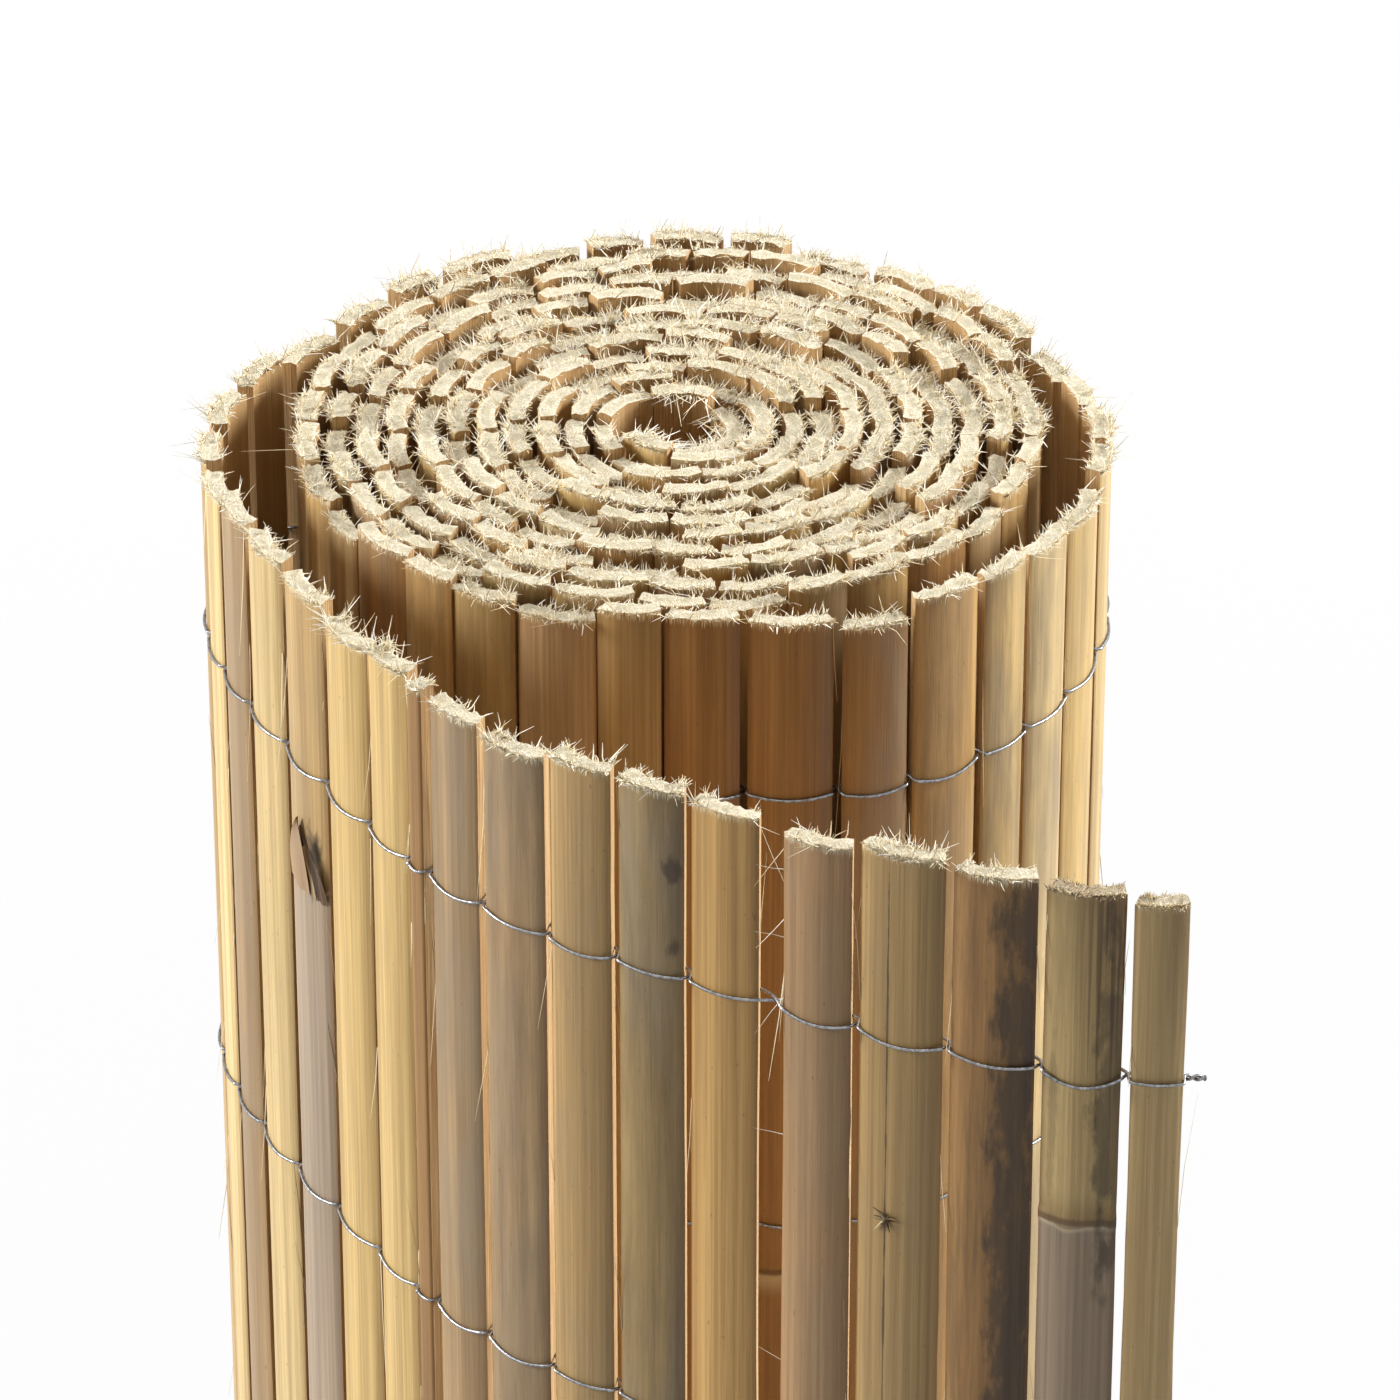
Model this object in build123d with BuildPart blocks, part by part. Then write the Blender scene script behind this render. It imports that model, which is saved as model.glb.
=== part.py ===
from build123d import *
import math
import os

# A split bamboo screen, rolled up and stood on end, with its outer turn sprung loose and its free end
# standing out as a flap. All sizes are in millimetres and degrees.

# Slat, split lengthwise from a bamboo cane
SLAT_LENGTH = 914.0
SLAT_WIDTH = 19.0
WIDTH_SPREAD = 3.6
SLAT_THICKNESS = 4.8
CANE_RADIUS = 26.0
UNEVEN_TOPS = 5.0

# Flap: how many slats it has, and their widths from the free end on as shares of the usual slat width
FLAP_SLATS = 18
FLAP_WIDTHS = (0.7, 1.04, 1.16, 1.2, 1.0, 1.0, 0.98, 0.95, 1.08, 0.98, 0.3, 0.98, 1.13, 1.1, 1.08, 0.93, 0.83)

# Gaps between neighbouring slats, and how crooked they lie in the roll
LOOSE_GAP = 2.0
ROLLED_GAP = 0.6
WIDE_GAP = 7.0
WIDE_GAP_AFTER_SLAT = 5
ROLLED_TWIST = 3.0

# Roll: an even spiral, counted outwards from its core
CORE_RADIUS = 10.0
TURN_PITCH = 8.0
TIGHT_TURNS = 11.45
TIGHT_END_DIRECTION = -90.0
POINTS_PER_TURN = 12

# How far the loose outer turn and the flap stand off the even spiral: degrees past the tight roll's
# end, then the extra distance from the roll's axis in turn pitches
STAND_OFF = (
    (12, 0.375), (25, 1.125), (45, 1.4375), (90, 1.25), (112, 0.4375),
    (135, 0.15), (180, 0.15), (225, 0.15), (243, 0.4375), (258, 1.375),
    (275, 2.1875), (290, 2.1875), (314, 2.8125), (333, 5.0625), (348, 7.75),
    (360, 9.9375), (371, 13.125), (380, 16.75), (387.9, 19.71),
)

# Binding wire: two strands in each row, one in front of the slats and one behind
WIRE_ROWS = 7
EDGE_MARGIN = 55.0
WIRE_DIAMETER = 0.9
WIRE_CLEARANCE = 0.3
WIRE_TAIL = 6.0

# Worked out from the sizes above
BACK_RADIUS = CANE_RADIUS - SLAT_THICKNESS
CROWN = SLAT_THICKNESS / 2.0
TIGHT_SWEEP = TIGHT_TURNS * 360.0
LIFT_OFF = TIGHT_SWEEP + STAND_OFF[0][0]
FREE_END = TIGHT_SWEEP + STAND_OFF[-1][0]
ROW_SPACING = (SLAT_LENGTH - 2.0 * EDGE_MARGIN) / (WIRE_ROWS - 1)

# A strand has a three-sided section with the round wire's area
STRAND_CORNER = WIRE_DIAMETER * math.sqrt(math.pi / (3.0 * math.sqrt(3.0)))
STRAND_FLAT = STRAND_CORNER / 2.0

# Points of a slat's curved side, from edge to edge: three make an arc, four make three flats
ARC_POINTS = (-1.0, 0.0, 1.0)
FLAT_POINTS = (-1.0, -1.0 / 3.0, 1.0 / 3.0, 1.0)

# Steps of an even scatter without a visible order
GOLDEN_STEP = 0.6180339887
PLASTIC_STEP = 0.7548776662
SILVER_STEP = 0.4142135624


def scatter(number, step):
    """A fixed value between -1 and 1 for each slat."""
    return 2.0 * math.modf(number * step)[0] - 1.0


def on_spiral(turned, stand_off=0.0):
    """The point of the mat's middle line after so many degrees from the core."""
    radius = CORE_RADIUS + TURN_PITCH * (turned / 360.0 + stand_off)
    direction = math.radians(TIGHT_END_DIRECTION + turned - TIGHT_SWEEP)
    return Vector(radius * math.cos(direction), radius * math.sin(direction))


# Middle line of the mat, from the free end of the flap to the core
step_count = round(TIGHT_TURNS * POINTS_PER_TURN)
route = [on_spiral(TIGHT_SWEEP * step / step_count) for step in range(step_count + 1)]
route += [on_spiral(TIGHT_SWEEP + past, stand_off) for past, stand_off in STAND_OFF]
with BuildLine() as middle_line:
    Spline(*reversed(route))
mat_line = middle_line.edge()
footprint = mat_line.bounding_box().center()


class Slat:
    """One slat's place on the mat, its width and its height."""

    def __init__(self, number, along, width, turned):
        middle = mat_line.position_at(along, position_mode=PositionMode.LENGTH)
        heading = mat_line.tangent_at(along, position_mode=PositionMode.LENGTH)
        if turned < TIGHT_SWEEP:
            heading = heading.rotate(Axis.Z, ROLLED_TWIST * scatter(number, SILVER_STEP))
        self.heading = heading
        self.plane = Plane(middle - footprint, x_dir=heading, z_dir=(0, 0, 1))
        self.half_width = width / 2.0
        self.half_angle = math.asin(self.half_width / CANE_RADIUS)
        self.height = SLAT_LENGTH - UNEVEN_TOPS * (0.5 + 0.5 * scatter(number, PLASTIC_STEP)) ** 2
        self.turned = turned

    def on_wall(self, radius, share):
        """A point of the cane's wall, from the slat's one edge (share -1) to the other (share 1)."""
        angle = share * self.half_angle
        return (radius * math.sin(angle), CROWN - CANE_RADIUS + radius * math.cos(angle))

    def beside(self, across, out, height):
        """A point near the slat, in the part's own frame."""
        return self.plane.from_local_coords((across, out, height))


def slat_width(number):
    """The flap's slats have their own widths, and the others scatter about the usual width."""
    if number <= len(FLAP_WIDTHS):
        return SLAT_WIDTH * FLAP_WIDTHS[number - 1]
    return SLAT_WIDTH + WIDTH_SPREAD * scatter(number, GOLDEN_STEP)


def gap_beside(number, turned):
    """Room between a slat and the next one."""
    if number == WIDE_GAP_AFTER_SLAT:
        return WIDE_GAP
    if turned > LIFT_OFF:
        return LOOSE_GAP
    return ROLLED_GAP


def half_pitch(width, gap, turned):
    """Length of mat from a slat's middle to the middle of the gap beside it.

    In the roll the slats stand at an angle to each other, so their nearest edges set the length.
    """
    if turned > TIGHT_SWEEP:
        return (width + gap) / 2.0
    radius = CORE_RADIUS + TURN_PITCH * turned / 360.0
    half_angle = math.asin(width / 2.0 / CANE_RADIUS)
    share_of_turn = 0.0
    for wall_radius in (CANE_RADIUS, BACK_RADIUS):
        across = wall_radius * math.sin(half_angle)
        from_axis = radius + CROWN - CANE_RADIUS + wall_radius * math.cos(half_angle)
        edge_angle = math.atan2(across, from_axis) + gap / 2.0 / math.hypot(across, from_axis)
        share_of_turn = max(share_of_turn, edge_angle)
    return radius * share_of_turn


def lay_out_slats():
    """March along the mat from the free end to the core, slat by slat."""
    slats = []
    turned = FREE_END
    last_direction = math.degrees(math.atan2(route[-1].Y, route[-1].X))
    number = 1
    along = slat_width(number) / 2.0
    while along + slat_width(number) / 2.0 < mat_line.length:
        middle = mat_line.position_at(along, position_mode=PositionMode.LENGTH)
        direction = math.degrees(math.atan2(middle.Y, middle.X))
        turned -= (last_direction - direction) % 360.0
        last_direction = direction
        slats.append(Slat(number, along, slat_width(number), turned))
        gap = gap_beside(number, turned)
        along += half_pitch(slat_width(number), gap, turned) + half_pitch(slat_width(number + 1), gap, turned)
        number += 1
    return slats


def slat_strip(slat, side_points):
    """One slat: a bowed strip of cane wall, stood on end."""
    skin = [slat.on_wall(CANE_RADIUS, share) for share in side_points]
    back = [slat.on_wall(BACK_RADIUS, share) for share in side_points]
    with BuildPart() as strip:
        with BuildSketch(slat.plane):
            with BuildLine():
                if side_points == ARC_POINTS:
                    ThreePointArc(*skin)
                    ThreePointArc(*back)
                else:
                    Polyline(*skin)
                    Polyline(*back)
                Line(skin[0], back[0])
                Line(skin[-1], back[-1])
            make_face()
        extrude(amount=slat.height)
    return strip.part


def make_slats(label, slats, side_points):
    """The slats of one stretch of the mat, each a separate solid."""
    strips = [slat_strip(slat, side_points) for slat in slats]
    with BuildPart() as group:
        add(strips)
    group.part.label = label
    export_step(group.part, f"parts/{label}.step")


def front_strand(slats, height):
    """Corners of the strand that lies across the slats' crowns, clear of their shoulders at each bend."""
    room = WIRE_CLEARANCE + STRAND_FLAT
    corners = [slats[0].beside(-slats[0].half_width - WIRE_TAIL, CROWN + room, height)]
    for slat, before, after in zip(slats, slats[:1] + slats, slats[1:] + slats[-1:]):
        bend = max(slat.heading.get_angle(before.heading), slat.heading.get_angle(after.heading))
        out = (CANE_RADIUS + room) / math.cos(math.radians(bend / 2.0)) - CANE_RADIUS
        corners.append(slat.beside(0, CROWN + out, height))
    return corners


def back_strand(slats, height):
    """Corners of the strand that lies along the slats' back edges, one in each gap."""
    room = WIRE_CLEARANCE + STRAND_FLAT
    behind = slats[0].on_wall(BACK_RADIUS, 1)[1] - room
    corners = [slats[0].beside(-slats[0].half_width - WIRE_TAIL, behind, height)]
    for slat, neighbour in zip(slats, slats[1:]):
        behind = min(slat.on_wall(BACK_RADIUS, 1)[1], neighbour.on_wall(BACK_RADIUS, 1)[1]) - room
        this_side = slat.beside(slat.half_width, behind, height)
        that_side = neighbour.beside(-neighbour.half_width, behind, height)
        corners.append((this_side + that_side) / 2.0)
    return corners


def make_wire_row(label, slats, height):
    """The two strands of one row, each a separate solid with a flat side towards the slats."""
    with BuildPart() as row:
        for corners, turn in ((front_strand(slats, height), -90), (back_strand(slats, height), 90)):
            with BuildLine() as path:
                Polyline(*corners)
            with BuildSketch(Plane(path.line @ 0, x_dir=(0, 0, 1), z_dir=path.line % 0)):
                RegularPolygon(STRAND_CORNER, 3, rotation=turn)
            sweep(path=path.line, transition=Transition.RIGHT)
    row.part.label = label
    export_step(row.part, f"parts/{label}.step")


os.makedirs("parts", exist_ok=True)
all_slats = lay_out_slats()
flap_slats = all_slats[:FLAP_SLATS]
loose_slats = [slat for slat in all_slats[FLAP_SLATS:] if slat.turned > TIGHT_SWEEP]
tight_slats = [slat for slat in all_slats[FLAP_SLATS:] if slat.turned <= TIGHT_SWEEP]

# Flap, one node for each slat, counted from the free end
for place, slat in enumerate(flap_slats, start=1):
    make_slats(f"flap_slat_{place:02d}", [slat], ARC_POINTS)

# Loose outer turn
make_slats("loose_turn_slats", loose_slats, ARC_POINTS)

# Turns of the tight roll, counted from the core
for turn in range(math.ceil(TIGHT_TURNS)):
    in_turn = [slat for slat in tight_slats if turn * 360.0 <= slat.turned < (turn + 1) * 360.0]
    make_slats(f"tight_turn_{turn + 1:02d}_slats", in_turn, FLAT_POINTS)

# Binding wires, counted from the top, as far as the mat lies open
for place in range(WIRE_ROWS):
    row_height = SLAT_LENGTH - EDGE_MARGIN - ROW_SPACING * place
    make_wire_row(f"wire_row_{place + 1}", flap_slats + loose_slats, row_height)
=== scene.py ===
import itertools
import math

import bpy
import numpy as np
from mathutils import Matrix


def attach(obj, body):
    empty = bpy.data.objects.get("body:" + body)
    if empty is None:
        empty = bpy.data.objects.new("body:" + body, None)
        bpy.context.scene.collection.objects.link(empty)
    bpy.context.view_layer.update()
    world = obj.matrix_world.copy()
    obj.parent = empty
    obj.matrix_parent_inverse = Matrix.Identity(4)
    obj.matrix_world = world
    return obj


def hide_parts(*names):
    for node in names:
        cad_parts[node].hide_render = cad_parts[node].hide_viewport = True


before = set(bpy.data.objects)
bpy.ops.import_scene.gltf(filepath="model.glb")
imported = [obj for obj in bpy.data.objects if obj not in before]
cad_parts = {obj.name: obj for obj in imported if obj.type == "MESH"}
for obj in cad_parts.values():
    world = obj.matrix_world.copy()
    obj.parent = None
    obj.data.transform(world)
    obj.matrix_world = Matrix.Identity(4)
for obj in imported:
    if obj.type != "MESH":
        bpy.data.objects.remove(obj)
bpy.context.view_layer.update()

# Sizes in metres: the cane a slat was split from, its wall, the screen's height and its binding wires
CANE_RADIUS = 0.026
WALL = 0.0048
SCREEN_HEIGHT = 0.914
WIRE_ROWS = 7
EDGE_MARGIN = 0.055
WIRE_RADIUS = 0.00045

# Split edges of a slat: how far they stand proud of the plain solid on average, the number and size of
# the long and the short waves they wander in, how far out and in they may reach, and how far down and
# over what share of its half width the skin is rounded off beside them
EDGE_FULLNESS = 0.00018
EDGE_LONG_WAVES = (5, 0.0004)
EDGE_SHORT_WAVES = (40, 0.0003)
EDGE_OUTMOST = 0.00028
EDGE_INMOST = 0.0005
EDGE_ROUNDING = 0.00045
ROUNDED_SHARE = 0.2

# Sawn end of a slat: how far it lies under the slat's height, its slope and its roughness, the depths in
# the wall that it has points at, and how far below it the even rows of points on the sides stop
END_DROP = 0.0006
END_SLOPE = 0.0008
END_ROUGHNESS = (-0.0006, 0.0005)
END_DEPTHS = (0.0, 0.25, 0.6, 1.0)
END_REACH = 0.004

# Camera: the photograph's place, tilt and lens, as estimated from it
CAMERA_PLACE = (0.0058, -1.8560, 1.9798)
CAMERA_TILT = 59.0
CAMERA_LENS = 210.9
SENSOR = 36.0

# Heights from a cane's node that a slat has rows of points at, and how far a node is felt. The first two
# rows stand close together, because the distance to the node starts afresh between them
NODE_REACH = 0.05
NODE_STEPS = (-0.0501, -0.0499, -0.006, -0.003, -0.001, 0.001, 0.003, 0.006)

# Ridge of a cane's node, and the groove above it
RIDGE_HEIGHT = 0.0006
RIDGE_REACH = 0.0018
GROOVE_DEPTH = 0.0003
GROOVE_REACH = 0.002
GROOVE_ABOVE_NODE = 0.004

# Loose fibres: the places of their points from root to tip, how they taper, and their sides
HAIR_STEPS = (0.0, 0.45, 1.0)
HAIR_TAPER = (1.0, 0.8, 0.25)
HAIR_SIDES = 3

# Fuzz of a sawn end: how much of it is left from slat to slat, a usual slat's half angle, the fewest
# stubs, the shares of stubs at the skin's rim and at both rims, the clumps, and the share of long hairs
FRAY_SHARES = (0.3, 0.5, 0.8, 1.2, 1.6)
USUAL_HALF_ANGLE = 0.37
FEWEST_STUBS = 10
SKIN_RIM_SHARE = 0.62
BOTH_RIMS_SHARE = 0.88
CLUMPS = 6
LONG_HAIRS = 0.014

# How finely a slat is made: points from edge to edge, height between rows of points, and how many fibres
# stand on its sawn end and along its split edges
FLAP_DETAIL = (13, 0.016, 260, 16)
LOOSE_DETAIL = (11, 0.02, 220, 10)
TIGHT_DETAIL = (7, 0.09, 150, 3)

# Tight roll: its turns, and the fibres that each slat of the innermost turn has in the core
TIGHT_TURNS = 12
CORE_FIBRES = 40

# Wires: room between a wire and a slat, how far the strands part in a gap, how far a strand sags in
# front of a slat, and how much more at one place of the top row
WIRE_ROOM = 0.0001
STRAND_PARTING = 0.00055
WIRE_SAG = (0.0003, 0.0016)
EXTRA_SAG = 0.0022

# Wires: where a strand has points across a slat's front and back, its sides and the steps between its
# points, and the length and the half turns of its twisted end
FRONT_SHARES = (-0.97, -0.75, -0.4, 0.0, 0.4, 0.75, 0.97)
BACK_SHARES = (-0.8, 0.0, 0.8)
WIRE_SIDES = 6
WIRE_STEPS = 3
TAIL_LENGTH = 0.006
TAIL_HALF_TURNS = 2.5

# Starts of the random draws
FLAP_SEED = 100
LOOSE_SEED = 200
TIGHT_SEED = 1000
WIRE_SEED = 5000

# Stage: the floor's half width, how far it lies below the feet, its own grey, the distances between which
# it fades to plain white and how white it is seen at both, and the sky's colour and strength
FLOOR_REACH = 8.0
FLOOR_DROP = 0.0005
FLOOR_GREY = (0.5, 0.5, 0.5)
FLOOR_FADE = (0.3, 2.0)
FLOOR_WHITENESS = (0.9, 1.0)
SKY_COLOUR = (1.0, 0.94, 0.86, 1.0)
SKY_STRENGTH = 0.13

# Lamps, all aimed at one point: name, place and power
LAMP_TARGET = (0.0, 0.0, 0.8)
LAMP_SIZE = 1.0
LAMPS = (
    ("left", (-2.45, 0.2, 1.68), 88.0),
    ("right", (2.25, 0.75, 1.75), 112.0),
    ("top", (-0.3, 0.3, 3.0), 20.0),
)

# Points lower than this belong to a slat's foot
ON_FLOOR = 1e-5

# Added to a vector's length before it divides
TINY = 1e-12

# A slanting direction that the rings of a tube are turned from
SLANT = (0.31, 0.22, 0.92)

# Materials' places in every piece of bamboo
SKIN, SPLIT, END, FIBRE = range(4)

# What the materials read at each point, three numbers under each name: the place in the grain and the
# slat's seed, the colour, the kinds of wear, the distances to a node, a sheath and the top, the place
# between the edges and in the wall, and the places in two marks
VALUES = ("grain", "tone", "wear", "spans", "rim", "mark_a", "mark_b")


def srgb(red, green, blue):
    """A colour written from 0 to 255 as the linear values that shaders take."""
    shares = [value / 255.0 for value in (red, green, blue)]
    return tuple(s / 12.92 if s <= 0.04045 else ((s + 0.055) / 1.055) ** 2.4 for s in shares)


# Skin colours of the slats
TONES = {
    "straw": srgb(242, 216, 162),
    "pale": srgb(222, 198, 144),
    "yellow": srgb(212, 184, 124),
    "golden": srgb(202, 165, 104),
    "tan": srgb(194, 164, 112),
    "olive": srgb(182, 154, 104),
    "rosy": srgb(184, 151, 111),
    "taupe": srgb(176, 149, 111),
    "green": srgb(170, 147, 101),
    "brown": srgb(164, 127, 78),
    "char": srgb(86, 62, 38),
}

# Colours that the roll's slats are drawn from, those of the loose turn's last slats, counted from its
# inner end, and the bleached rim of a sawn end
ROLL_TONES = ("pale", "yellow", "golden", "tan", "rosy", "taupe", "golden", "yellow", "brown")
# The loose turn's last slats carry painted shade: brown at the inner end, which lies in shade at the roll's
# front, paler further out
INNER_END_SHADED_TONES = ("brown", "brown", "brown", "golden", "yellow", "pale", "yellow", "pale", "pale")
CREAM = srgb(238, 226, 190)

# The first of the outermost turns of the tight roll, counted from 0, and the colours of these turns
OUTER_TURN = 10
# These turns' colours are partly painted shade: the cane's own colours, chosen darker and duller for the
# roll's shaded front
OUTER_SHADED_TONES = ("olive", "tan", "green", "tan", "taupe", "olive", "golden", "brown")


# Reading the slats from the CAD


class Slat:
    """One slat: the middle of its cane, the way its skin faces, half its angle, and its height."""

    def __init__(self, cane, facing, half_angle, height):
        self.cane = cane
        self.facing = facing
        self.half_angle = half_angle
        self.height = height

    def at(self, share, radius, height):
        """Points from one edge of the slat (share -1) to the other (share 1)."""
        angle = self.facing + np.asarray(share) * self.half_angle
        across = self.cane[0] + radius * np.cos(angle)
        out = self.cane[1] + radius * np.sin(angle)
        return np.stack(np.broadcast_arrays(across, out, height), axis=-1)

    @property
    def middle(self):
        """The middle of the slat's foot."""
        return self.at(0.0, CANE_RADIUS - WALL / 2.0, 0.0)


def joined_points(node):
    """The corners of a CAD node, and for each the number of the solid it belongs to."""
    mesh = node.data
    corners = np.empty(3 * len(mesh.vertices), dtype=np.float32)
    mesh.vertices.foreach_get("co", corners)
    corners = corners.reshape(-1, 3).astype(float)
    mesh.calc_loop_triangles()
    triangles = np.empty(3 * len(mesh.loop_triangles), dtype=np.int32)
    mesh.loop_triangles.foreach_get("vertices", triangles)
    points, place = np.unique(np.round(corners, 6), axis=0, return_inverse=True)
    owner = list(range(len(points)))

    def root_of(point):
        while owner[point] != point:
            point = owner[point]
        return point

    for first, second, third in place.reshape(-1)[triangles].reshape(-1, 3):
        owner[root_of(second)] = root_of(first)
        owner[root_of(third)] = root_of(first)
    return points, np.array([root_of(point) for point in range(len(points))])


def cane_middle(foot):
    """The point that every corner of a slat's foot lies at the skin's or the back's radius from."""
    best = None
    for start, end in itertools.permutations(foot, 2):
        half = (end - start) / 2.0
        reach = CANE_RADIUS**2 - half @ half
        if reach <= 0.0:
            continue
        aside = np.array([-half[1], half[0]])
        middle = start + half + math.sqrt(reach) * aside / np.linalg.norm(half)
        radii = np.linalg.norm(foot - middle, axis=1)
        miss = np.minimum(abs(radii - CANE_RADIUS), abs(radii - CANE_RADIUS + WALL)).max()
        if best is None or miss < best[0]:
            best = (miss, middle)
    return best[1]


def read_slats(node):
    """The slats of a CAD node."""
    points, owners = joined_points(node)
    slats = []
    for owner in np.unique(owners):
        own = points[owners == owner]
        foot = own[own[:, 2] < ON_FLOOR][:, :2]
        cane = cane_middle(foot)
        out = foot.mean(axis=0) - cane
        facing = math.atan2(out[1], out[0])
        spread = np.arctan2(foot[:, 1] - cane[1], foot[:, 0] - cane[0]) - facing
        spread = (spread + math.pi) % (2.0 * math.pi) - math.pi
        slats.append(Slat(cane, facing, abs(spread).max(), own[:, 2].max()))
    return slats


def edge_share(slat, towards):
    """The share of the slat's edge that lies towards a point."""
    gap = [np.linalg.norm(slat.at(share, CANE_RADIUS, 0.0) - towards) for share in (-1.0, 1.0)]
    return -1.0 if gap[0] < gap[1] else 1.0


def sideways(slat):
    """The level directions out of a slat's skin and along the mat."""
    out = slat.at(0.0, 1.0, 0.0) - slat.at(0.0, 0.0, 0.0)
    return out, np.array([-out[1], out[0], 0.0])


# Gathering points into meshes


class Piece:
    """Grids of points gathered into one mesh, with the values that the materials read."""

    def __init__(self):
        self.points = []
        self.quads = []
        self.materials = []
        self.values = {name: [] for name in VALUES}
        self.count = 0

    def add(self, points, material, flip=False, **values):
        """Add grids of points, the last three axes being rows, columns and x, y, z."""
        points = np.asarray(points, dtype=float)
        rows, columns = points.shape[-3:-1]
        grids = points.size // (rows * columns * 3)
        corner = np.arange(rows * columns).reshape(rows, columns)
        quads = np.stack([corner[:-1, :-1], corner[:-1, 1:], corner[1:, 1:], corner[1:, :-1]], axis=-1)
        quads = quads.reshape(-1, 4)
        if flip:
            quads = quads[:, ::-1]
        starts = self.count + rows * columns * np.arange(grids)
        self.quads.append((quads[None] + starts[:, None, None]).reshape(-1, 4))
        self.materials.append(np.full(grids * len(quads), material))
        self.points.append(points.reshape(-1, 3))
        for name in VALUES:
            value = np.asarray(values.get(name, (0.0, 0.0, 0.0)), dtype=float)
            self.values[name].append(np.broadcast_to(value, points.shape).reshape(-1, 3))
        self.count += rows * columns * grids

    def build(self, name, materials):
        """One mesh object of all grids."""
        quads = np.concatenate(self.quads)
        mesh = bpy.data.meshes.new(name)
        mesh.vertices.add(self.count)
        mesh.vertices.foreach_set("co", np.concatenate(self.points).ravel())
        mesh.loops.add(quads.size)
        mesh.loops.foreach_set("vertex_index", quads.ravel())
        mesh.polygons.add(len(quads))
        mesh.polygons.foreach_set("loop_start", np.arange(0, quads.size, 4))
        mesh.polygons.foreach_set("material_index", np.concatenate(self.materials))
        mesh.polygons.foreach_set("use_smooth", np.ones(len(quads), dtype=bool))
        for value, parts in self.values.items():
            attribute = mesh.attributes.new(value, "FLOAT_VECTOR", "POINT")
            attribute.data.foreach_set("vector", np.concatenate(parts).ravel())
        for material in materials:
            mesh.materials.append(material)
        mesh.update(calc_edges=True)
        piece = bpy.data.objects.new(name, mesh)
        bpy.context.scene.collection.objects.link(piece)
        return piece


def tubes(paths, radii, sides):
    """Round tubes along paths of points, as grids. The radii are one for each point of each path."""
    paths = np.asarray(paths, dtype=float)
    along = np.gradient(paths, axis=-2)
    along /= np.linalg.norm(along, axis=-1, keepdims=True) + TINY
    aside = np.cross(along, SLANT)
    aside /= np.linalg.norm(aside, axis=-1, keepdims=True) + TINY
    third = np.cross(along, aside)
    turn = np.linspace(0.0, 2.0 * math.pi, sides + 1)
    ring = aside[..., None, :] * np.cos(turn)[:, None] + third[..., None, :] * np.sin(turn)[:, None]
    return paths[..., None, :] + ring * np.asarray(radii)[..., None, None]


def wander(rng, places, waves, size):
    """A smooth random line over places from 0 to 1."""
    phase = rng.uniform(0.0, 2.0 * math.pi, waves)
    rate = rng.uniform(1.0, 2.0 * waves, waves)
    lines = np.sin(np.multiply.outer(places, rate) * math.pi + phase)
    return size * lines.mean(axis=-1)


# One slat and its fibres


class Look:
    """How one slat looks: its colour, how worn it is, its cane's nodes and what marks it."""

    def __init__(self, tone, stain=0.0, film=0.0, burnt=0.0, nodes=(), sheath=None, marks=(), fuzz=1.0):
        self.tone = TONES[tone]
        self.stain = stain
        self.film = film
        self.burnt = burnt
        self.nodes = nodes
        self.sheath = sheath
        self.marks = marks
        self.fuzz = fuzz


def rolled_look(rng):
    """A slat of the roll, with two of its cane's nodes."""
    first = rng.uniform(0.06, 0.42)
    return Look(
        ROLL_TONES[rng.integers(len(ROLL_TONES))],
        stain=0.55 * rng.random() ** 4,
        film=0.6 * rng.random() ** 2,
        nodes=(first, first + rng.uniform(0.26, 0.36)),
    )


class SlatValues:
    """What the materials read on one slat."""

    def __init__(self, slat, look, seed):
        self.slat = slat
        self.look = look
        self.seed = seed
        self.half_width = CANE_RADIUS * slat.half_angle

    def mark(self, place, share, height):
        """Where points lie in an oval mark of the skin, from its middle, in shares of its size."""
        if place >= len(self.look.marks):
            return np.zeros(share.shape + (3,))
        middle, level, wide, high, strength = self.look.marks[place]
        across = (share - middle) * self.half_width / wide
        return np.stack([across, (height - level) / high, np.full(share.shape, strength)], axis=-1)

    def of(self, share, height, depth, offset):
        """The values at points of one side of the slat."""
        share, height, depth = np.broadcast_arrays(share, height, depth)
        across = offset + share * self.half_width + depth * WALL
        to_node = np.full(share.shape, NODE_REACH)
        for node in self.look.nodes:
            closer = abs(height - node) < abs(to_node)
            to_node = np.where(closer, height - node, to_node)
        # A slat without a sheath counts as well above one
        sheath = height + 1.0 if self.look.sheath is None else height - self.look.sheath
        below_top = self.slat.height - height
        to_edge = self.half_width * (1.0 - abs(share))
        return {
            "grain": np.stack([across, height, np.full(share.shape, self.seed)], axis=-1),
            "tone": self.look.tone,
            "wear": (self.look.stain, self.look.film, self.look.burnt),
            "spans": np.stack([to_node, sheath, below_top], axis=-1),
            "rim": np.stack([to_edge, share, depth], axis=-1),
            "mark_a": self.mark(0, share, height),
            "mark_b": self.mark(1, share, height),
        }


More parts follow.
